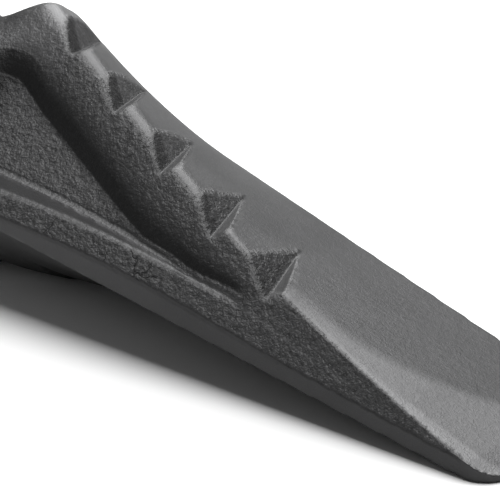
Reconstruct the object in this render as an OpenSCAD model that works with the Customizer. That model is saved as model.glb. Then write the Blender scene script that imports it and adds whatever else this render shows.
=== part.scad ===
// Twisted splitting wedge, one steel forging.
// Millimetres. X runs along the wedge, from the striking face at x = 0
// (origin at its centre) to the cutting edge at the +X end. Z is up, the
// die-closing direction; the trimmed parting line lies near z = 0 on both
// sides. Every section is the same after half a turn about X.

/* [Overall] */
// length from the striking face to the cutting edge
total_len = 232; // [226:1:260]
// width of the blade at the cutting edge
tip_w = 48; // [42:0.5:54]
// plan radius of the two corners of the cutting edge
tip_r = 7; // [3:0.5:12]
// thickness left on the blunt cutting edge
edge_t = 1.5; // [1:0.1:2.4]

/* [Blade and twist] */
// half thickness of the blade plane where it starts at the edge
blade_half = 1.2; // [0.9:0.1:2]
// rise of the ridge per millimetre in the flat blade
blade_rise = 0.142; // [0.12:0.002:0.16]
// distance from the edge at which the ridge starts to climb
twist_from = 77; // [70:1:84]
// extra rise of the ridge per millimetre where it starts to climb
body_rise = 0.078; // [0.06:0.002:0.09]
// sideways drift of the ridge per millimetre near the edge
ridge_drift = 0.0141; // [0.005:0.001:0.025]
// growth of that drift, this makes the twist
ridge_turn = 0.000735; // [0.0006:0.00001:0.0008]
// widening of each parting edge per millimetre
edge_spread = 0.0356; // [0.02:0.001:0.045]
// radius on the ridge of the twisted body
ridge_r = 9; // [5:0.5:10]
// fullness of the top face at the head
top_bulge = 3.4; // [2:0.2:4.4]
// height of the soft crease between tip facet and twisted top face
crease_h = 0.7; // [0.2:0.1:1]

/* [Trimmed band] */
// depth of the band's lower edge below the centre plane, at the tip
band_low = 1.95; // [1.7:0.05:2.4]
// height of the band's upper edge above the centre plane, at the tip
band_high = 2.4; // [1.4:0.1:2.6]

/* [Side pocket] */
// distance of the pocket's upper wall from the ridge, down the flank
wall_off = 9.4; // [8:0.2:11]
// width of the rough rim above the trimmed band
rim_w = 6.6; // [5:0.2:8]
// height of the pocket's upper wall
wall_drop = 9.9; // [8.5:0.1:10.6]
// length of the soft run-out of the flank into that wall
wall_soft = 2.4; // [1:0.2:3]
// mean slope of the pocket's upper wall at the head, degrees
wall_slope = 66; // [60:1:72]
// rise of the step between rim and pocket floor, per millimetre of length
step_rise = 0.049; // [0.04:0.001:0.056]
// distance from the edge to the head-side wall of the pocket
pocket_end = 199; // [194:1:204]

/* [Notches] */
// number of notches cut across each ridge
notch_count = 5; // [3:1:5]
// distance from the edge to the head-side corner of the first notch
notch_from = 93; // [90:0.5:95]
// pitch of the notches
notch_pitch = 24.7; // [23:0.1:25]
// length of a notch along the ridge
notch_len = 15.6; // [12:0.2:16.4]
// reach of a notch across the top face
notch_reach = 19.5; // [14:0.5:21]
// reach of a notch down the flank
notch_down = 4.6; // [3.4:0.2:5.2]

/* [Head] */
// width across flats of the striking head
poll_w = 48; // [44:0.5:52]
// length of the parallel striking head, its edge bevel included
poll_len = 15; // [10:0.5:17]
// edge bevel round the striking face
poll_bevel = 3.5; // [2:0.5:5]

/* [Hidden] */
steel = [0.25, 0.25, 0.26];

// In all that follows, dist is the distance from the cutting edge, and a
// section point is [y, z].
body_full = 200;                   // dist of the widest body section
head_from = total_len - poll_len;  // dist of the striking head
head_ease = 2.5;                   // overrun of the body-to-head blend at each end
thin_len = 9;                      // length thinned toward the cutting edge
crease_len = 95;                   // dist at which the crease runs out
facet_len = 88;                    // dist at which the tip facet ends

// ---- helpers ----
// 0 to 1 ease between start and end
function ease(start, end, dist) =
    let (part = min(1, max(0, (dist - start) / (end - start))))
    part * part * (3 - 2 * part);
function mix(first, second, share) = first * (1 - share) + second * share;
// length past start, with a knee of half length knee
function past(start, knee, dist) =
    let (over = dist - start)
    over < -knee ? 0 : over > knee ? over : pow(over + knee, 2) / (4 * knee);
function unit(vec) = vec / norm(vec);
// point on the quadratic curve from start to end, pulled toward ctrl
function curve(start, ctrl, end, share) =
    start * pow(1 - share, 2) + ctrl * 2 * share * (1 - share) + end * share * share;
function place(dist, point) = [total_len - dist, point[0], point[1]];

// count + 1 points of a rounding at tip between before and after, using up
// to the part reach of each side
function corner(before, tip, after, radius, count, reach) =
    let (back = unit(before - tip), ahead = unit(after - tip),
         half = acos(max(-1, min(1, back * ahead))) / 2,
         back_len = norm(before - tip), ahead_len = norm(after - tip),
         cut = min(max(half > 89 ? 0 : radius / tan(half), 0.12 * min(back_len, ahead_len)),
                   reach * back_len, min(reach, 0.5) * ahead_len))
    [for (i = [0:count]) curve(tip + back * cut, tip, tip + ahead * cut, i / count)];

// ---- trimmed band and ridge ----
function thinning(dist) = pow(max(0, 1 - dist / thin_len), 2);
// distance of the parting edge from the centre, with the rounded tip corner
function edge_y(dist) =
    let (inset = max(0, tip_r - dist))
    tip_w / 2 + edge_spread * dist - (tip_r - sqrt(tip_r * tip_r - inset * inset));
function low_z(dist) = -mix(band_low + 0.0356 * dist, edge_t / 2, thinning(dist));
function high_z(dist) =
    max(low_z(dist) + 1,
        mix(band_high - 0.042 * (dist - past(66, 10, dist)) - 0.001 * pow(past(100, 10, dist), 2),
            edge_t / 6, thinning(dist)));
function ridge_y(dist) =
    -(edge_y(dist) - (edge_spread + ridge_drift) * dist - ridge_turn * dist * dist)
    + 0.5 * thinning(dist);
function ridge_z(dist) =
    let (climb = past(twist_from, 8, dist))
    mix(blade_half + blade_rise * dist + body_rise * climb - 0.000222 * climb * climb
            + 0.8 * ease(90, 150, dist),
        edge_t / 2 + 0.1, thinning(dist));
function low_pt(dist) = [-edge_y(dist), low_z(dist)];
function high_pt(dist) = [-edge_y(dist) + 0.05, high_z(dist)];
function ridge_pt(dist) = [ridge_y(dist), ridge_z(dist)];

// ---- flank, from the ridge down to the band ----
function flank_len(dist) = norm(high_pt(dist) - ridge_pt(dist));
function flank_dir(dist) = unit(high_pt(dist) - ridge_pt(dist));
function flank_pt(dist, down) = ridge_pt(dist) + flank_dir(dist) * down;

// ---- side pocket: ledge, smooth step and second ledge above the rim,
// then the rough floor up to the wall ----
function wall_down(dist) = min(wall_off + 0.048 * (dist - 150), 0.4 * flank_len(dist));
function wall_top(dist) = flank_pt(dist, wall_down(dist));
function rim_top(dist) =
    let (len = flank_len(dist)) flank_pt(dist, len - min(rim_w, 0.38 * len));
function step_foot(dist) = rim_top(dist) + [0.8, 0.08];
function step_top(dist) =
    step_foot(dist) + (0.3 + step_rise * past(102, 8, dist)) * [cos(62), sin(62)];
function ledge_end(dist) = step_top(dist) + (0.4 + 1.2 * ease(100, 130, dist)) * [1, 0.15];
function slope(dist) = mix(58, wall_slope, ease(118, 172, dist));
function drop(dist) =
    mix(7.4 + 2.1 * ease(92, 134, dist), wall_drop, ease(126, 166, dist))
    - ease(176, 196, dist);
function wall_foot(dist) =
    mix(mix(ledge_end(dist), wall_top(dist), 0.12),
        wall_top(dist) - drop(dist) * [1 / tan(slope(dist)), 1],
        ease(114, 128, dist));
// the flank runs over into the wall in a long curve that ends steep; its
// control point is where the flank line meets the steep line from the foot
function wall_curve(dist) =
    let (foot = wall_foot(dist),
         start = flank_pt(dist, wall_down(dist) - wall_soft),
         along = flank_dir(dist),
         steep = [-cos(80), -sin(80)],
         span = foot - start,
         pull = max(0.5, min(cross(span, steep) / cross(along, steep), 0.8 * norm(span))))
    [for (share = [0.2, 0.44, 0.68, 1]) curve(foot, start + along * pull, start, share)];
// how far the pocket is sunk: 0 plain flank, 1 full pocket
function pocket_depth(dist) =
    ease(82, 108, dist) * (1 - ease(pocket_end - 9, pocket_end + 8, dist));
// pocket point, faded from the given share of the way down the plain flank
function sunk(dist, share, point, depth) =
    mix(flank_pt(dist, share * flank_len(dist)), point, depth);

// ---- top face, from the ridge to the far parting edge ----
function far_pt(dist) = -low_pt(dist);
function bulge(dist) = top_bulge * pow(past(105, 10, dist) / 85, 1.6);
function top_pt(dist, share) =
    let (across = unit(far_pt(dist) - ridge_pt(dist)))
    mix(ridge_pt(dist), far_pt(dist), share)
    + [-across[1], across[0]] * 4 * share * (1 - share)
      * (bulge(dist) + 0.12 * (1 - ease(0, 20, dist)));
// place of the crease, as a share of the top face
function crease_share(dist) =
    max(mix(0.12, 0.3, ease(90, 150, dist)),
        0.05 + 0.9 * pow(max(0, 1 - dist / facet_len), 2.4));
function crease_up(dist) =
    dist > crease_len ? 0 : crease_h * sin(180 * dist / crease_len);

// ---- whole sections ----
// half section from the parting edge over flank, ridge and top face; the
// other half is the same points turned half a turn
function half_loop(dist, depth) =
    let (low = low_pt(dist), high = high_pt(dist), rim = rim_top(dist),
         foot = sunk(dist, 0.6, step_foot(dist), depth),
         step = sunk(dist, 0.56, step_top(dist), depth),
         ledge = sunk(dist, 0.52, ledge_end(dist), depth),
         floor_end = sunk(dist, 0.46, wall_foot(dist), depth),
         wall_pts = wall_curve(dist),
         wall = [for (i = [0:3]) sunk(dist, [0.42, 0.37, 0.32, 0.26][i], wall_pts[i], depth)],
         share = crease_share(dist),
         rise = crease_up(dist),
         crease = top_pt(dist, share) + [0, rise],
         round_r = mix(0.8, ridge_r, ease(80, 150, dist)))
    concat([low],
           corner(low, high, rim, 0.6, 1, 0.42),
           corner(high, rim, foot, 0.3, 1, 0.42),
           [foot, step],
           corner(step, ledge, floor_end, 3, 2, 0.42),
           corner(ledge, floor_end, wall[0], 0.6, 1, 0.3),
           wall,
           corner(wall[3], ridge_pt(dist), crease, round_r, 7, 0.7),
           [crease],
           [for (part = [0.22:0.26:0.8])
               top_pt(dist, mix(share, 1, part)) + [0, rise * (1 - part)]]);

// striking head: octagon with full corners, in the direction of point
function poll_pt(point, width) =
    let (angle = atan2(point[1], point[0]))
    [cos(angle), sin(angle)] * width / 2 * (1 + 0.0145 * (1 - cos(8 * angle)));

function loop(dist) =
    let (half = half_loop(min(dist, body_full), pocket_depth(dist)),
         full = concat(half, -half),
         share = ease(body_full - head_ease, head_from + head_ease, dist),
         width = poll_w - 2 * max(0, dist - total_len + poll_bevel))
    dist <= body_full - head_ease ? full
        : [for (point = full) mix(point, poll_pt(point, width), share)];

// distances from the cutting edge at which sections are set
stations = concat([0, 0.5, 1.3, 2.5, 4, 6, 8, 10, 13, 17],
                  [for (dist = [22:6:76]) dist],
                  [for (dist = [80:4:192]) dist],
                  [for (dist = [194:2:206]) dist],
                  [for (dist = [208.5:2.5:head_from - 1.5]) dist],
                  [head_from, head_from + head_ease, total_len - poll_bevel, total_len]);

module body_skin() {
    count = len(loop(50));
    last = len(stations) - 1;
    points = [for (dist = stations) for (point = loop(dist)) place(dist, point)];
    sides = [for (i = [0:last - 1]) for (j = [0:count - 1])
        let (k = (j + 1) % count, near = i * count, next = near + count)
        each [[near + j, next + k, near + k],
              [near + j, next + j, next + k]]];
    edge_face = [for (j = [0:count - 1]) j];
    head_face = [for (j = [count - 1:-1:0]) last * count + j];
    polyhedron(points = points, faces = concat(sides, [edge_face, head_face]), convexity = 6);
}

// one V cut, its root running askew from the flank to the top face
module notch_cut(dist) {
    head_corner = place(dist, ridge_pt(dist));
    edge_corner = place(dist - notch_len, ridge_pt(dist - notch_len));
    flank_end = place(dist - 12, flank_pt(dist - 12, notch_down));
    top_share = notch_reach / norm(far_pt(dist) - ridge_pt(dist));
    top_end = place(dist + 1, top_pt(dist + 1, top_share));
    // root drawn out past the surface at both ends
    root_dir = unit(top_end - flank_end);
    root_low = flank_end - root_dir * 12;
    root_high = top_end + root_dir * 9;
    middle = mix(flank_end, top_end, 0.3);
    head_side = (head_corner - middle) * 2.2;
    edge_side = (edge_corner - middle) * 2.2;
    polyhedron(points = [root_low, root_high,
                         root_low + head_side, root_high + head_side,
                         root_low + edge_side, root_high + edge_side],
               faces = [[0, 1, 3, 2], [0, 4, 5, 1], [2, 3, 5, 4], [0, 2, 4], [1, 5, 3]]);
}

module notches() {
    for (i = [0:notch_count - 1]) notch_cut(notch_from + notch_pitch * i);
}

module wedge_body() {
    color(steel) difference() {
        body_skin();
        notches();
        rotate([180, 0, 0]) notches();
    }
}

wedge_body();
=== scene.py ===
"""Looks of the twisted splitting wedge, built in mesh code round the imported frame.

Units inside are millimetres until a mesh is made, then metres. s is the
distance back from the cutting edge; x = TOTAL - s.
"""
import math

import bpy
import bmesh
import numpy as np
from mathutils import Matrix, Vector, noise


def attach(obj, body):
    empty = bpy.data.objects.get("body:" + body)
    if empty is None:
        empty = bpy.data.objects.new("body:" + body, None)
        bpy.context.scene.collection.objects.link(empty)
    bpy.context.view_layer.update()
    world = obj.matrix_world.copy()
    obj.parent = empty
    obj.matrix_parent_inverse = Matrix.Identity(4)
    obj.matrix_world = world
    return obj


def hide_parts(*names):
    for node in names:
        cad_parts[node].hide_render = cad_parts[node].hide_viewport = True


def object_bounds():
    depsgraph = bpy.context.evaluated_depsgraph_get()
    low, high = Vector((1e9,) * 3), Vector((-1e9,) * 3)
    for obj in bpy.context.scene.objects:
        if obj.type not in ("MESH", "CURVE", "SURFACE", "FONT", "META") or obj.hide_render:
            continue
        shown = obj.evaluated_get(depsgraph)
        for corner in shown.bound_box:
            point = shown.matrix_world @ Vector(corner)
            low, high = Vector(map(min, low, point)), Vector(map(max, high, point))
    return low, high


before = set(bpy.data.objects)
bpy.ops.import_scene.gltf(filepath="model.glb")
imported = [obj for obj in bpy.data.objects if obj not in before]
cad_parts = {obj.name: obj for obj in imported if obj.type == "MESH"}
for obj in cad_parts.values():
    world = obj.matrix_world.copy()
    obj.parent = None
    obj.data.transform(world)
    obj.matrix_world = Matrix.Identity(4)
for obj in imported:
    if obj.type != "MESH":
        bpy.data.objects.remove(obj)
low0, high0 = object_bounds()

# ---------------------------------------------------------------- shape
TOTAL = 232.0
TIP_W, TIP_R, EDGE_T = 48.0, 7.0, 1.5
POLL_W, POLL_LEN, POLL_BEVEL = 48.0, 15.0, 3.5
FULL = 200.0
HEAD_FROM = TOTAL - POLL_LEN
V = lambda y, z: np.array([y, z], float)


def ease(a, b, s):
    t = min(1.0, max(0.0, (s - a) / (b - a)))
    return t * t * (3 - 2 * t)


def mix(p, q, t):
    return p * (1 - t) + q * t


def past(a, h, s):
    d = s - a
    return 0.0 if d < -h else d if d > h else (d + h) ** 2 / (4 * h)


def edge_y(s):
    cut = TIP_R - math.sqrt(max(0.0, TIP_R ** 2 - (TIP_R - s) ** 2)) if s < TIP_R else 0.0
    return TIP_W / 2 + 0.0356 * s - cut


def thin(s):
    return (1 - s / 9) ** 2 if s < 9 else 0.0


def low_z(s):
    return -mix(1.95 + 0.0356 * s, EDGE_T / 2, thin(s))


def high_z(s):
    return max(low_z(s) + 1, mix(2.4 - 0.042 * (s - past(66, 10, s)) - 0.001 * past(100, 10, s) ** 2,
                                 EDGE_T / 6, thin(s)))


def ridge_y(s):
    return -(edge_y(s) - (0.0356 + 0.0141) * s - 0.000735 * s * s) + 0.5 * thin(s)


def ridge_z(s):
    d = past(77, 8, s)
    return mix(1.2 + 0.142 * s + 0.078 * d - 0.000222 * d * d + 0.8 * ease(90, 150, s),
               EDGE_T / 2 + 0.1, thin(s))


def low_pt(s):
    return V(-edge_y(s), low_z(s))


def high_pt(s):
    return V(-edge_y(s) + 0.05, high_z(s))


def ridge_pt(s):
    return V(ridge_y(s), ridge_z(s))


def flank_len(s):
    return float(np.linalg.norm(ridge_pt(s) - high_pt(s)))


def flank_pt(s, t):
    return ridge_pt(s) + (high_pt(s) - ridge_pt(s)) * t / flank_len(s)


def in_flank(s, f):
    return flank_pt(s, f * flank_len(s))


def wall_top(s):
    return flank_pt(s, min(9.4 + 0.048 * (s - 150), 0.4 * flank_len(s)))


def rim_top(s):
    return flank_pt(s, flank_len(s) - min(6.6, 0.38 * flank_len(s)))


def step_in(s):
    return rim_top(s) + V(0.8, 0.08)


def step_top(s):
    h = 0.3 + 0.049 * past(102, 8, s)
    return step_in(s) + h * V(math.cos(math.radians(62)), math.sin(math.radians(62)))


def ledge_in(s):
    return step_top(s) + (0.4 + 1.2 * ease(100, 130, s)) * V(1, 0.15)


def wall_foot(s):
    sl = math.radians(mix(58, 66, ease(118, 172, s)))
    d = (mix(7.4 + 2.1 * ease(92, 134, s), 9.9, ease(126, 166, s)) - ease(176, 196, s))
    return mix(mix(ledge_in(s), wall_top(s), 0.12), wall_top(s) + V(-d / math.tan(sl), -d), ease(114, 128, s))


def wall_curve(s, b, n):
    """The flank runs over into the wall in a long curve that ends steep."""
    u = flank_pt(s, min(9.4 + 0.048 * (s - 150), 0.4 * flank_len(s)) - 2.4)
    q = (high_pt(s) - ridge_pt(s)) / flank_len(s)
    e = V(-math.cos(math.radians(80)), -math.sin(math.radians(80)))
    d = b - u
    t = (d[0] * e[1] - d[1] * e[0]) / (q[0] * e[1] - q[1] * e[0])
    t = max(0.5, min(t, 0.8 * float(np.linalg.norm(d))))
    c = u + q * t
    return [b * (1 - f) ** 2 + c * 2 * f * (1 - f) + u * f * f for f in (0.2 + 0.8 * i / (n - 1) for i in range(n))]


def pocket_k(s):
    return ease(82, 108, s) * (1 - ease(190, 207, s))


def crease_f(s):
    return 0.05 if s > 88 else 0.05 + 0.9 * ((88 - s) / 88) ** 2.4


def crease_up(s):
    return 0.0 if s > 95 else 0.7 * math.sin(math.radians(180 * s / 95))


def far_pt(s):
    return -low_pt(s)


def bulge(s):
    return 3.4 * (past(105, 10, s) / 85) ** 1.6


def top_pt(s, f):
    d = far_pt(s) - ridge_pt(s)
    return mix(ridge_pt(s), far_pt(s), f) + V(-d[1], d[0]) / np.linalg.norm(d) * 4 * f * (1 - f) * (
        bulge(s) + 0.12 * (1 - ease(0, 20, s)))


def corner(a, b, c, r, n, m=0.42):
    la, lc = np.linalg.norm(a - b), np.linalg.norm(c - b)
    u, v = (a - b) / la, (c - b) / lc
    half = math.acos(max(-1.0, min(1.0, float(u @ v)))) / 2
    d = r / math.tan(half) if half < math.radians(89) else 0.0
    d = min(max(d, 0.12 * min(la, lc)), m * la, min(m, 0.5) * lc)
    p, q = b + u * d, b + v * d
    return [p * (1 - t) ** 2 + b * 2 * t * (1 - t) + q * t * t for t in (i / n for i in range(n + 1))]


def line(a, b, n):
    """n inner points between a and b."""
    return [mix(a, b, (i + 1) / (n + 1)) for i in range(n)]


# region numbers, kept with every skin vertex
BAND, RIM, STEP, FLOOR, WALL, FLANK, RIDGE, TOP, LEDGE = range(9)


def half_loop(s, k):
    lo, hi, v = low_pt(s), high_pt(s), rim_top(s)
    e = mix(in_flank(s, 0.6), step_in(s), k)
    g = mix(in_flank(s, 0.56), step_top(s), k)
    a = mix(in_flank(s, 0.52), ledge_in(s), k)
    b = mix(in_flank(s, 0.46), wall_foot(s), k)
    r = ridge_pt(s)
    nw = 22
    wc = wall_curve(s, wall_foot(s), nw)
    w = [mix(in_flank(s, 0.42 - 0.16 * i / (nw - 1)), wc[i], k) for i in range(nw)]
    cf = max(mix(0.12, 0.3, ease(90, 150, s)), crease_f(s))
    cr = top_pt(s, cf) + V(0, crease_up(s))
    rr = mix(0.8, 9.0, ease(80, 150, s))
    out, reg = [], []

    def add(pts, g):
        out.extend(pts)
        reg.extend([g] * len(pts))

    c1 = corner(lo, hi, v, 0.5, 3)
    c2 = corner(hi, v, e, 0.3, 3)
    c3 = corner(g, a, b, 3.0, 8)
    c4 = corner(a, b, w[0], 0.6, 4, 0.3)
    c6 = corner(w[-1], r, cr, rr, 24, 0.7)
    add([lo], BAND)
    add(line(lo, c1[0], 9), BAND)
    add(c1, BAND)
    add(line(c1[-1], c2[0], 14), RIM)
    add(c2, RIM)
    add(line(c2[-1], e, 2) + [e], LEDGE)
    add(line(e, g, 8) + [g], STEP)
    add(line(g, c3[0], 1) + c3, LEDGE)
    add(line(c3[-1], c4[0], 34), FLOOR)
    add(c4, FLOOR)
    add(line(c4[-1], w[0], 2) + w[:14], WALL)
    add(w[14:], FLANK)
    add(line(w[-1], c6[0], 6), FLANK)
    add(c6[:10], FLANK)
    add(c6[10:], RIDGE)
    add(line(c6[-1], cr, 3) + [cr], TOP)
    n = 62
    add([top_pt(s, mix(cf, 1, i / n)) + V(0, crease_up(s) * (1 - i / n)) for i in range(1, n)], TOP)
    return np.array(out), reg


def poll_ring(p, w):
    t = np.arctan2(p[:, 1], p[:, 0])
    r = w / 2 * (1 + 0.0145 * (1 - np.cos(8 * t)))
    return np.stack([np.cos(t) * r, np.sin(t) * r], 1)


def loop(s):
    h, reg = half_loop(min(s, FULL), pocket_k(s))
    full = np.concatenate([h, -h])
    if s > FULL - 2.5:
        k = ease(FULL - 2.5, HEAD_FROM + 2.5, s)
        full = full * (1 - k) + poll_ring(full, POLL_W) * k
    return full, reg


def stations():
    st = [0.0, 0.12, 0.4, 0.8, 1.3, 1.9, 2.5]
    s = 3.2
    while s < HEAD_FROM + 2.5:
        st.append(s)
        s += 0.6
    return st + [HEAD_FROM + 2.5 + i for i in range(0, 9)]


def skin():
    rings, st = [], stations()
    for s in st:
        rings.append(loop(s)[0])
    n = len(rings[0])
    xs = [TOTAL - s for s in st]
    # bevel round the striking face, slightly mushroomed by use
    end = rings[-1]
    for dx, cut in ((3.0, 0.0), (2.2, 0.35), (1.4, 0.95), (0.8, 1.7), (0.35, 2.6), (0.1, 3.6), (0.0, 4.8)):
        k = 1 - cut / (POLL_W / 2)
        rings.append(end * k)
        xs.append(dx)
    for k in (0.6, 0.35, 0.12):
        rings.append(end * k)
        xs.append(-0.0)
    xs[-3:] = [0.02, 0.02, 0.02]
    # blunt edge closed by one face over the first ring
    tip = rings[0]
    pts = [np.column_stack([np.full(n, x), r]) for x, r in zip(xs, rings)]
    verts = np.concatenate(pts)
    m = len(pts)
    faces = []
    for i in range(m - 1):
        a = i * n
        b = a + n
        faces += [(a + j, b + j, b + (j + 1) % n, a + (j + 1) % n) for j in range(n)]
    faces.append(tuple(range(n)))
    faces.append(tuple((m - 1) * n + j for j in range(n - 1, -1, -1)))
    return verts, faces


def at(s, p):
    return np.array([TOTAL - s, p[0], p[1]])


def notch(k):
    s = 93 + 24.7 * k
    a, a2 = at(s, ridge_pt(s)), at(s - 15.6, ridge_pt(s - 15.6))
    c = at(s - 12, flank_pt(s - 12, 4.6))
    b = at(s + 1, top_pt(s + 1, 19.5 / np.linalg.norm(far_pt(s) - ridge_pt(s))))
    v = (b - c) / np.linalg.norm(b - c)
    v1, v2, mid = c - v * 12, b + v * 9, mix(c, b, 0.3)
    up, up2 = (a - mid) * 2.2, (a2 - mid) * 2.2
    return np.array([v1, v2, v1 + up, v2 + up, v1 + up2, v2 + up2])


NOTCH_FACES = [(2, 3, 1, 0), (1, 5, 4, 0), (4, 5, 3, 2), (4, 2, 0), (3, 5, 1)]


def mesh_object(name, verts, faces):
    me = bpy.data.meshes.new(name)
    me.from_pydata([tuple(p) for p in np.asarray(verts) * 0.001], [], faces)
    me.validate()
    bm = bmesh.new()
    bm.from_mesh(me)
    bmesh.ops.remove_doubles(bm, verts=bm.verts, dist=1e-7)
    bmesh.ops.recalc_face_normals(bm, faces=bm.faces)
    bm.to_mesh(me)
    bm.free()
    ob = bpy.data.objects.new(name, me)
    bpy.context.scene.collection.objects.link(ob)
    return ob


def baked(ob):
    """The object's mesh with its modifiers applied, as a new datablock."""
    dg = bpy.context.evaluated_depsgraph_get()
    me = bpy.data.meshes.new_from_object(ob.evaluated_get(dg), preserve_all_data_layers=False, depsgraph=dg)
    ob.modifiers.clear()
    ob.data = me
    return me


VOXEL = 0.00040
wedge = mesh_object("forged_wedge", *skin())
cut_v, cut_f = [], []
for k in range(5):
    for flip in (1, -1):
        q = notch(k) * np.array([1, flip, flip])
        o = sum(len(c) for c in cut_v)
        cut_v.append(q)
        cut_f += [tuple(i + o for i in f) for f in NOTCH_FACES]
cutter = mesh_object("cutter", np.concatenate(cut_v), cut_f)
mod = wedge.modifiers.new("cut", "BOOLEAN")
mod.operation = "DIFFERENCE"
mod.solver = "EXACT"
mod.object = cutter
mod2 = wedge.modifiers.new("skin", "REMESH")
mod2.mode = "VOXEL"
mod2.voxel_size = VOXEL
me = baked(wedge)
bpy.data.objects.remove(cutter)

# ---------------------------------------------------------------- regions
N = len(me.vertices)
co = np.empty(N * 3)
me.vertices.foreach_get("co", co)
co = co.reshape(-1, 3) * 1000
E = np.empty(len(me.edges) * 2, dtype=np.int64)
me.edges.foreach_get("vertices", E)
E = E.reshape(-1, 2)
deg = np.bincount(E.ravel(), minlength=N).astype(float)


def spread(val):
    out = np.zeros_like(val)
    if val.ndim == 1:
        out += np.bincount(E[:, 0], weights=val[E[:, 1]], minlength=N)
        out += np.bincount(E[:, 1], weights=val[E[:, 0]], minlength=N)
        return out / deg
    for c in range(val.shape[1]):
        out[:, c] = spread(val[:, c])
    return out


# worn, rounded edges: a few shrink-free smoothing passes
for _ in range(3):
    co = co + 0.5 * (spread(co) - co)

st = np.arange(0.0, TOTAL + 0.01, 1.0)
rings = []
for s in st:
    h, reg = loop(min(s, TOTAL))
    rings.append(h[: len(reg)])
rings = np.array(rings)
reg = np.array(reg)
sv = np.clip(TOTAL - co[:, 0], 0, TOTAL - 0.01)
lo_t = np.array([low_pt(min(s, FULL)) for s in st])
lo_i = np.column_stack([np.interp(sv, st, lo_t[:, i]) for i in (0, 1)])
cross = -lo_i[:, 0] * 2 * (co[:, 2] - lo_i[:, 1]) + lo_i[:, 1] * 2 * (co[:, 1] - lo_i[:, 0])
side = np.where(cross >= 0, 1.0, -1.0)          # 1: near flank and top, -1: the other half
fy, fz = co[:, 1] * side, co[:, 2] * side
i0 = np.clip(sv.astype(int), 0, len(st) - 2)
fr = sv - i0
best = np.full(N, 1e9)
idx = np.zeros(N, int)
for j in range(len(reg)):
    yy = rings[i0, j, 0] * (1 - fr) + rings[i0 + 1, j, 0] * fr
    zz = rings[i0, j, 1] * (1 - fr) + rings[i0 + 1, j, 1] * fr
    d = (yy - fy) ** 2 + (zz - fz) ** 2
    m = d < best
    best[m] = d[m]
    idx[m] = j
region = reg[idx]
off = np.sqrt(best)

# the forging's own soft edges: notch faces against the ridge, and the shoulder
nrm = np.empty(N * 3)
me.vertices.foreach_set("co", (co * 0.001).ravel())
me.update()
me.vertices.foreach_get("normal", nrm)
nrm = nrm.reshape(-1, 3)

ROUGH = {BAND: 0.0, RIM: 1.0, STEP: 0.12, FLOOR: 1.0, WALL: 0.16, FLANK: 0.9, RIDGE: 0.12, TOP: 0.13, LEDGE: 0.5}
rough = np.array([ROUGH[g] for g in range(9)])[region]
rough = np.where((region == TOP) & (sv > 198), 0.5, rough)
rough = np.where((sv > 200), np.maximum(rough, 0.45), rough)
rough = np.where(sv > HEAD_FROM + 1, 0.12, rough)
in_notch = np.zeros(N, bool)
ramp = np.zeros(N, bool)
for q in cut_v:
    v1, v2, r1, _, r2, _ = q
    n1, n2 = np.cross(v2 - v1, r1 - v1), np.cross(v2 - v1, r2 - v1)
    n1, n2 = n1 / np.linalg.norm(n1), n2 / np.linalg.norm(n2)
    n1, n2 = n1 * np.sign(n1 @ (r2 - v1)), n2 * np.sign(n2 @ (r1 - v1))
    d1, d2 = (co - v1) @ n1, (co - v1) @ n2
    near = (np.abs(co - (v1 + v2) / 2) < 30).all(1) & (off > 0.12)
    ramp |= near & (np.abs(d1) < 0.3) & (d2 > 0.15)
    in_notch |= near & ((np.abs(d1) < 0.3) & (d2 > -0.3) | (np.abs(d2) < 0.3) & (d1 > -0.3))
i_w = int(np.nonzero(reg == WALL)[0][0]) + 1
up_wall = np.clip((idx - i_w) / 21.0, 0, 1)      # 0 at the foot of the wall, 1 where the flank begins
on_wall = (idx >= i_w - 1) & (idx <= i_w + 22)
rough = np.where(on_wall, 0.34 + 0.56 * up_wall ** 1.5, rough)
rough = rough * (1 - 0.45 * np.clip((sv - 182) / 10, 0, 1) * np.isin(region, (FLANK, RIDGE)))
rough = np.where(in_notch, np.where(ramp, 0.8, 0.28), rough)
plain = np.clip((96 - sv) / 14, 0, 1) * np.isin(region, (RIM, STEP, LEDGE, FLOOR, WALL, FLANK))
rough = rough * (1 - plain) + 0.95 * plain
# painted shade on the pocket wall, darkest at its foot
pocket_shade = np.where(on_wall, np.clip(1.6 * (1 - up_wall), 0, 1), 0.0) * np.clip((sv - 84) / 8, 0, 1)
# painted shade on the notch ramps
ramp_shade = ramp.astype(float)
pocket_shade *= np.clip((208 - sv) / 6, 0, 1)
# painted shade where the pocket ends at the head
pocket_shade = np.maximum(pocket_shade, 0.95 * np.exp(-((sv - 198.5) / 6.0) ** 2) * np.isin(region, (FLOOR, WALL)))
for _ in range(3):
    rough = 0.5 * rough + 0.5 * spread(rough)
    pocket_shade = 0.5 * pocket_shade + 0.5 * spread(pocket_shade)
    ramp_shade = 0.5 * ramp_shade + 0.5 * spread(ramp_shade)

facet = (in_notch & ~ramp).astype(float)
slope_ = ramp.astype(float)
crest = (np.isin(region, (FLANK, RIDGE)) & ~in_notch).astype(float)
flat = ((region == TOP) & ~in_notch).astype(float)
for _ in range(12):
    flat = 0.5 * flat + 0.5 * spread(flat)
    facet = 0.5 * facet + 0.5 * spread(facet)
    slope_ = 0.5 * slope_ + 0.5 * spread(slope_)
    crest = 0.5 * crest + 0.5 * spread(crest)
soft = np.clip(4.5 * facet * crest - 2.0 * facet * slope_, 0, 1) + np.clip(4.0 * slope_ * (crest + flat), 0, 0.9)
cf_i = np.interp(sv, st, np.array([max(mix(0.12, 0.3, ease(90, 150, s)), crease_f(s)) for s in st]))
rp_i = np.interp(sv, st, np.array([ridge_pt(min(s, FULL))[0] for s in st]))
width = -lo_i[:, 0] - rp_i
at_crease = np.abs(cf_i - (fy - rp_i) / width) * width
soft = np.maximum(soft, np.exp(-(at_crease / 5.0) ** 2) * np.isin(region, (TOP, RIDGE)) * ~in_notch * np.clip((sv - 8) / 10, 0, 1) * np.interp(sv, [84, 94], [1.0, 0.6]))
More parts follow.
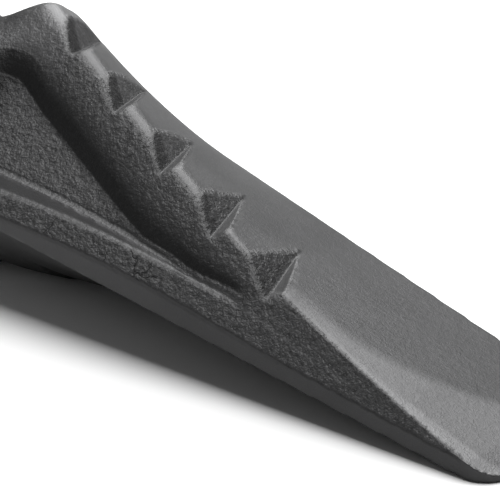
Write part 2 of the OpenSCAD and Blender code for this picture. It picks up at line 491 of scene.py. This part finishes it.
soft = np.maximum(np.clip(soft, 0, 1), np.clip((sv - 186) / 10, 0, 1) * np.clip((HEAD_FROM + 1 - sv) / 4, 0, 1) * ~in_notch * 0.9)
keep = co.copy()
for _ in range(34):
    co = co + (soft * 0.6)[:, None] * (spread(co) - co)
me.vertices.foreach_set("co", (co * 0.001).ravel())
me.update()
nrm = np.empty(N * 3)
me.vertices.foreach_get("normal", nrm)
nrm = nrm.reshape(-1, 3)

# convexity: where paint and scale wear off; concavity: painted shade in creases and hollows
curv = ((spread(co) - co) * nrm).sum(1)
for _ in range(2):
    curv = 0.5 * curv + 0.5 * spread(curv)
wear = np.clip(-curv / 0.05 - 0.2, 0, 1)
crease_shade = np.clip(curv / 0.03 - 0.1, 0, 1)
on_body = np.clip((TOTAL - 4.5 - sv) / 1.5, 0, 1)    # the striking face itself stays even
crease_shade *= on_body
pocket_shade *= on_body

# forge scale, pits and flakes on the rough faces
h = np.zeros(N)
r_on = rough > 0.08
P = co * 1.0
for i in np.nonzero(r_on)[0]:
    p = P[i]
    a = noise.fractal(Vector(p * 0.55), 0.7, 2.1, 3)
    b = noise.noise(Vector(p * 1.35 + 31.0))
    c = noise.noise(Vector(p * 0.16 + 77.0))
    h[i] = 0.095 * a + 0.060 * b + 0.05 * c - 0.055 * max(0.0, noise.noise(Vector(p * 0.42 + 11.0)) - 0.28) * 4
h *= rough
broad = np.zeros(N)
for i in np.nonzero(region == TOP)[0]:
    p = P[i]
    broad[i] = noise.noise(Vector((p[0] * 0.05 + 5, p[1] * 0.09, p[2] * 0.05)))
h += broad * 0.05 * (1 - rough)
co = co + nrm * (h - 0.06 * rough - 0.02)[:, None]
lo_b, hi_b = np.array(low0) * 1000, np.array(high0) * 1000
co = np.clip(co, lo_b + 0.01, hi_b - 0.01)
me.vertices.foreach_set("co", (co * 0.001).ravel())
me.update()
for p in me.polygons:
    p.use_smooth = True

# slight painted shade along the ridge crest
ridge_shade = ((region == RIDGE) & ~in_notch).astype(float)
rz_t = np.array([ridge_pt(min(s, FULL)) for s in st])
ry_i = np.interp(sv, st, rz_t[:, 0])
fa_t = np.array([max(mix(0.12, 0.3, ease(90, 150, s)), crease_f(s)) for s in st])
yw = -lo_i[:, 0] - ry_i
# painted highlight on the tip facet, strongest toward the cutting edge
tip_highlight = np.clip((np.interp(sv, st, fa_t) - (fy - ry_i) / yw) * yw / 5.0 + 0.5, 0, 1) * np.isin(region, (TOP, RIDGE))
tip_highlight = tip_highlight * np.clip((80 - sv) / 44, 0, 1)
ridge_shade = ridge_shade * np.clip((sv - 70) / 20, 0, 1)
# painted light and shade by region: step and band lighter, top lighter toward the head and darker near the tip, a
# painted highlight on the shoulder
light_tone = np.ones(N)
light_tone = np.where(region == STEP, 1.45, light_tone)
light_tone = np.where(region == BAND, np.interp(sv, [70, 150], [0.95, 1.25]), light_tone)
light_tone = np.where(in_notch & ~ramp, 1.0, light_tone)
light_tone = light_tone * (1 + 0.75 * np.clip((sv - 178) / 16, 0, 1) * np.isin(region, (FLANK, RIDGE, TOP)) * ~in_notch)
top_light_tone = np.interp(sv, [30, 80, 130, 200], [0.70, 1.12, 2.0, 2.3])
i_r = np.nonzero(reg == RIDGE)[0]
over = np.clip((idx - i_r[0]) / float(i_r[-1] - i_r[0]), 0, 1) ** 1.6
light_tone = np.where(region == TOP, light_tone * top_light_tone, light_tone)
light_tone = np.where((region == RIDGE) & ~in_notch, light_tone * (1 + (top_light_tone - 1) * over * np.clip((sv - 84) / 10, 0, 1)), light_tone)
body = np.clip((208 - sv) / 8, 0, 1)             # the neck and head get no painted light or shade
light_tone = 1 + (light_tone - 1) * body
ridge_shade *= body
for _ in range(14):
    ridge_shade = 0.5 * ridge_shade + 0.5 * spread(ridge_shade)
for _ in range(4):
    light_tone = 0.5 * light_tone + 0.5 * spread(light_tone)
cut = (in_notch & ~ramp).astype(float)
for _ in range(2):
    cut = 0.5 * cut + 0.5 * spread(cut)
cut = np.clip(cut * 1.4, 0, 1)
light_tone = light_tone * (1 - cut) + 0.95 * cut
rim_f = (region == RIM).astype(float) * np.clip((sv - 60) / 30, 0, 1)
for _ in range(3):
    rim_f = 0.5 * rim_f + 0.5 * spread(rim_f)
att3 = me.attributes.new("zone", "FLOAT_COLOR", "POINT")
att3.data.foreach_set("color", np.column_stack([rim_f, rim_f, rim_f, np.ones(N)]).astype(np.float32).ravel())
# painted light and shade: ridge shade, tip highlight, ramp shade and regional tone
att2 = me.attributes.new("painted_light", "FLOAT_COLOR", "POINT")
light_tone = 1 + (light_tone - 1) * on_body
col2 = np.column_stack([ridge_shade * on_body, tip_highlight, ramp_shade * on_body, light_tone * 0.5]).astype(np.float32)
att2.data.foreach_set("color", col2.ravel())
# roughness and wear, plus painted shade for the pocket wall and the creases
att = me.attributes.new("finish_and_shade", "FLOAT_COLOR", "POINT")
col = np.column_stack([rough, wear, pocket_shade, crease_shade]).astype(np.float32)
att.data.foreach_set("color", col.ravel())

# ---------------------------------------------------------------- material
mat = bpy.data.materials.new("forged_steel")
mat.use_nodes = True
nt = mat.node_tree
nt.nodes.clear()


def node(kind, **kw):
    n = nt.nodes.new(kind)
    for k, v in kw.items():
        setattr(n, k, v)
    return n


def link(a, b):
    nt.links.new(a, b)


def math_node(op, a, b=None, clamp=False):
    n = node("ShaderNodeMath", operation=op, use_clamp=clamp)
    for i, v in enumerate((a, b)):
        if v is None:
            continue
        if isinstance(v, (int, float)):
            n.inputs[i].default_value = v
        else:
            link(v, n.inputs[i])
    return n.outputs[0]


def mix_val(f, a, b):
    return math_node("ADD", a, math_node("MULTIPLY", f, math_node("SUBTRACT", b, a)))


out = node("ShaderNodeOutputMaterial")
bsdf = node("ShaderNodeBsdfPrincipled")
link(bsdf.outputs[0], out.inputs[0])
tc = node("ShaderNodeTexCoord")
# roughness and wear, plus painted shade for the pocket wall and the creases
atn = node("ShaderNodeAttribute", attribute_name="finish_and_shade")
sep = node("ShaderNodeSeparateColor")
link(atn.outputs["Color"], sep.inputs[0])
f_rough, f_wear, f_pocket_shade, f_crease_shade = sep.outputs[0], sep.outputs[1], sep.outputs[2], atn.outputs["Alpha"]


# painted light and shade masks: ridge, tip, ramps, regional tone
atw = node("ShaderNodeAttribute", attribute_name="painted_light")
sepw = node("ShaderNodeSeparateColor")
link(atw.outputs["Color"], sepw.inputs[0])
f_ridge_shade, f_tip_highlight, f_ramp_shade, f_light_tone = sepw.outputs[0], sepw.outputs[1], sepw.outputs[2], atw.outputs["Alpha"]


def tex(scale, detail=4.0, rough_=0.6, vec=None):
    n = node("ShaderNodeTexNoise")
    n.inputs["Scale"].default_value = scale
    n.inputs["Detail"].default_value = detail
    n.inputs["Roughness"].default_value = rough_
    link(vec or tc.outputs["Object"], n.inputs["Vector"])
    return n.outputs[0]


def mapped(scale, rot=(0, 0, 0)):
    m = node("ShaderNodeMapping")
    m.inputs["Scale"].default_value = scale
    m.inputs["Rotation"].default_value = rot
    link(tc.outputs["Object"], m.inputs[0])
    return m.outputs[0]


# short cracks and flakes in the rough rim
atz = node("ShaderNodeAttribute", attribute_name="zone")
vor = node("ShaderNodeTexVoronoi", feature="DISTANCE_TO_EDGE")
vor.inputs["Scale"].default_value = 105
warp = node("ShaderNodeTexNoise")
warp.inputs["Scale"].default_value = 260
link(tc.outputs["Object"], warp.inputs["Vector"])
wmix = node("ShaderNodeVectorMath", operation="MULTIPLY_ADD")
link(warp.outputs[1], wmix.inputs[0])
wmix.inputs[1].default_value = (0.006, 0.006, 0.006)
link(tc.outputs["Object"], wmix.inputs[2])
link(wmix.outputs[0], vor.inputs["Vector"])
crack = math_node("SUBTRACT", 1.0, math_node("MULTIPLY", vor.outputs[0], 26.0), True)
crack = math_node("MULTIPLY", crack, math_node("MULTIPLY", math_node("SUBTRACT", tex(48, 2, 0.5), 0.50), 9.0, True))
crack = math_node("MULTIPLY", crack, atz.outputs["Fac"])
grain = tex(1700, 2, 0.5)
scale_ = tex(760, 3, 0.55)
blotch = tex(60, 4, 0.55)
fine = tex(2600, 2, 0.5)
lumps = tex(330, 3, 0.6)
scratch = tex(1.0, 3, 0.6, mapped((160, 1500, 1500), (0, 0, 0.35)))
patch = math_node("MULTIPLY", math_node("MULTIPLY", math_node("SUBTRACT", tex(38, 3, 0.5), 0.55), 9.0, True), 0.07)
streak = tex(1.0, 3, 0.6, mapped((1600, 120, 120)))

base_s = math_node("ADD", 0.120, math_node("MULTIPLY", math_node("SUBTRACT", blotch, 0.5), 0.05))
base_r = math_node("ADD", 0.105, math_node("MULTIPLY", math_node("SUBTRACT", scale_, 0.5), 0.18))
base = mix_val(f_rough, base_s, base_r)
# painted shade on the pocket wall, in creases, on the ridge and ramps; painted light from the regional tone; painted
# highlight on the tip facet
base = math_node("MULTIPLY", base, math_node("SUBTRACT", 1.0, math_node("MULTIPLY", f_pocket_shade, 0.74)))
base = math_node("MULTIPLY", base, math_node("SUBTRACT", 1.0, math_node("MULTIPLY", f_crease_shade, 0.16)))
base = math_node("MULTIPLY", base, math_node("ADD", 1.0, math_node("MULTIPLY", f_ridge_shade, -0.08)))
base = math_node("MULTIPLY", base, math_node("MULTIPLY", f_light_tone, 2.0))
base = math_node("MULTIPLY", base, math_node("ADD", 1.0, math_node("MULTIPLY", f_tip_highlight, 0.75)))
base = math_node("MULTIPLY", base, math_node("SUBTRACT", 1.0, math_node("MULTIPLY", f_ramp_shade, 0.28)))
base = math_node("MULTIPLY", base, math_node("ADD", 0.94, math_node("MULTIPLY", grain, 0.12)))
base = math_node("MULTIPLY", base, math_node("SUBTRACT", 1.0, math_node("MULTIPLY", crack, 0.65)))
wear_n = math_node("MULTIPLY", f_wear, math_node("MULTIPLY", math_node("SUBTRACT", scale_, 0.30), 2.2, True))
base = mix_val(wear_n, base, 0.22)
comb = node("ShaderNodeCombineColor")
link(base, comb.inputs[0])
link(base, comb.inputs[1])
link(math_node("MULTIPLY", base, 1.015), comb.inputs[2])
link(comb.outputs[0], bsdf.inputs["Base Color"])
bsdf.inputs["Metallic"].default_value = 0.55
rr_ = mix_val(f_rough, math_node("ADD", 0.40, math_node("MULTIPLY", math_node("SUBTRACT", blotch, 0.5), 0.10)), 0.52)
link(mix_val(wear_n, rr_, 0.33), bsdf.inputs["Roughness"])

hgt = math_node("ADD", math_node("MULTIPLY", grain, 0.42), math_node("MULTIPLY", scale_, 0.62))
hgt = math_node("ADD", hgt, math_node("MULTIPLY", lumps, 0.85))
hgt = math_node("MULTIPLY", f_rough, math_node("ADD", hgt, math_node("MULTIPLY", math_node("MULTIPLY", streak, f_pocket_shade), 0.35)))
hgt = math_node("ADD", hgt, math_node("MULTIPLY", math_node("SUBTRACT", 1.0, f_rough),
                                      math_node("ADD", math_node("MULTIPLY", fine, 0.10),
                                                math_node("MULTIPLY", scratch, math_node("ADD", 0.012, patch)))))
hgt = math_node("SUBTRACT", hgt, math_node("MULTIPLY", crack, 0.55))
bump = node("ShaderNodeBump")
bump.inputs["Strength"].default_value = 1.0
bump.inputs["Distance"].default_value = 0.00075
link(hgt, bump.inputs["Height"])
link(bump.outputs[0], bsdf.inputs["Normal"])
me.materials.clear()
me.materials.append(mat)

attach(wedge, "root")
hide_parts("wedge_body")

# ---------------------------------------------------------------- studio
TH = 0.1813
CT, SN = math.cos(TH), math.sin(TH)


def room(v):
    """A direction or place in the room (its Z up) seen in the part's frame."""
    x, y, z = v
    return Vector((x * CT - z * SN, y, x * SN + z * CT))


TIP = Vector((TOTAL * 0.001, 0, 0))
# the wedge lies on its cutting edge and on the lower ridge
c3 = co * 0.001
near_tip = c3[:, 0] > 0.5 * TIP.x
a0, a1 = 0.10, 0.25
for _ in range(30):
    lean = 0.5 * (a0 + a1)
    hgts = c3 @ np.array((-math.sin(lean), 0, math.cos(lean)))
    if hgts[near_tip].min() > hgts[~near_tip].min():
        a0 = lean
    else:
        a1 = lean
up = Vector((-math.sin(lean), 0, math.cos(lean)))
ground = float(hgts.min())


def rot(right, upv, back):
    return Matrix((right, upv, back)).transposed().to_4x4()


Y = Vector((0, 1, 0))
X = Y.cross(up)
centre = TIP - X * 0.10
base_pt = centre + up * (ground - centre.dot(up))


def quad(name, origin, a, b, sa, sb):
    me = bpy.data.meshes.new(name)
    vs = [origin + a * (i * sa) + b * (j * sb) for i, j in ((-1, -1), (1, -1), (1, 1), (-1, 1))]
    me.from_pydata([tuple(v) for v in vs], [], [(0, 1, 2, 3)])
    ob = bpy.data.objects.new(name, me)
    bpy.context.scene.collection.objects.link(ob)
    return ob


floor = quad("floor", base_pt, X, Y, 6.0, 6.0)
fm = bpy.data.materials.new("floor_white")
fm.use_nodes = True
fb = fm.node_tree.nodes["Principled BSDF"]
fb.inputs["Base Color"].default_value = (0.9, 0.9, 0.9, 1)
fb.inputs["Roughness"].default_value = 0.9
fb.inputs["Specular IOR Level"].default_value = 0.1
fn = fm.node_tree
fo = fn.nodes["Material Output"]
dim = fn.nodes.new("ShaderNodeBsdfDiffuse")
dim.inputs[0].default_value = (0.30, 0.30, 0.30, 1)
flp = fn.nodes.new("ShaderNodeLightPath")
fmx = fn.nodes.new("ShaderNodeMixShader")
fn.links.new(flp.outputs["Is Camera Ray"], fmx.inputs[0])
fn.links.new(dim.outputs[0], fmx.inputs[1])
fn.links.new(fb.outputs[0], fmx.inputs[2])
fn.links.new(fmx.outputs[0], fo.inputs[0])
floor.data.materials.append(fm)


def area(name, place, aim, w, hh, power, spread_=180):
    li = bpy.data.lights.new(name, "AREA")
    li.shape = "RECTANGLE"
    li.size, li.size_y = w, hh
    li.energy = power
    li.spread = math.radians(spread_)
    ob = bpy.data.objects.new(name, li)
    p = TIP + room(place)
    z = (p - (TIP + room(aim))).normalized()
    xx = Y.cross(z)
    if xx.length < 0.1:
        xx = X.cross(z)
    xx.normalize()
    yy = z.cross(xx)
    ob.matrix_world = Matrix.Translation(p) @ rot(xx, yy, z)
    bpy.context.scene.collection.objects.link(ob)
    return ob


only_wedge = bpy.data.collections.new("lit_wedge")
only_wedge.objects.link(wedge)
only_floor = bpy.data.collections.new("lit_floor")
only_floor.objects.link(floor)


def lights(ob, coll):
    ob.light_linking.receiver_collection = coll


lights(area("key_back", (-0.56, 0.62, 0.92), (-0.1, 0, 0), 1.0, 0.7, 7.2), only_wedge)
lights(area("top_fill", (-0.20, -0.15, 1.10), (-0.1, 0, 0), 1.2, 1.0, 9.0), only_wedge)
lights(area("floor_light", (0.00, 0.62, 1.10), (-0.1, 0, 0), 2.6, 1.9, 56.0), only_floor)
lights(area("floor_fill", (-0.30, -1.10, 0.60), (-0.1, 0, 0), 1.4, 0.8, 0.8), only_floor)

w = bpy.data.worlds.new("studio")
bpy.context.scene.world = w
w.use_nodes = True
wn = w.node_tree
wn.nodes.clear()
wo = wn.nodes.new("ShaderNodeOutputWorld")
bg_cam = wn.nodes.new("ShaderNodeBackground")
bg_cam.inputs[0].default_value = (1, 1, 1, 1)
bg_cam.inputs[1].default_value = 1.2
bg_env = wn.nodes.new("ShaderNodeBackground")
bg_env.inputs[0].default_value = (1, 1, 1, 1)
bg_env.inputs[1].default_value = 0.085
lp = wn.nodes.new("ShaderNodeLightPath")
mx = wn.nodes.new("ShaderNodeMixShader")
wn.links.new(lp.outputs["Is Camera Ray"], mx.inputs[0])
wn.links.new(bg_env.outputs[0], mx.inputs[1])
wn.links.new(bg_cam.outputs[0], mx.inputs[2])
wn.links.new(mx.outputs[0], wo.inputs[0])
bpy.context.scene.view_settings.view_transform = "Standard"
bpy.context.scene.view_settings.look = "None"

# ---------------------------------------------------------------- camera
AL, EP = math.radians(46.79), math.radians(18.76)
r = room((math.cos(AL), math.sin(AL), 0))
b = room((math.sin(AL) * math.cos(EP), -math.cos(AL) * math.cos(EP), math.sin(EP)))
u = b.cross(r)
DIST = 1.0113
PX = 4291.7                                     # picture points per metre at the edge
cam = bpy.data.cameras.new("camera")
cam.sensor_width = 36
cam.lens = PX * DIST / 500 * 36
cam.clip_start, cam.clip_end = 0.05, 30
cam_ob = bpy.data.objects.new("camera", cam)
cam_ob.matrix_world = Matrix.Translation(TIP - r * (309.03 / PX) + u * (208.40 / PX) + b * DIST) @ rot(r, u, b)
bpy.context.scene.collection.objects.link(cam_ob)
bpy.context.scene.camera = cam_ob
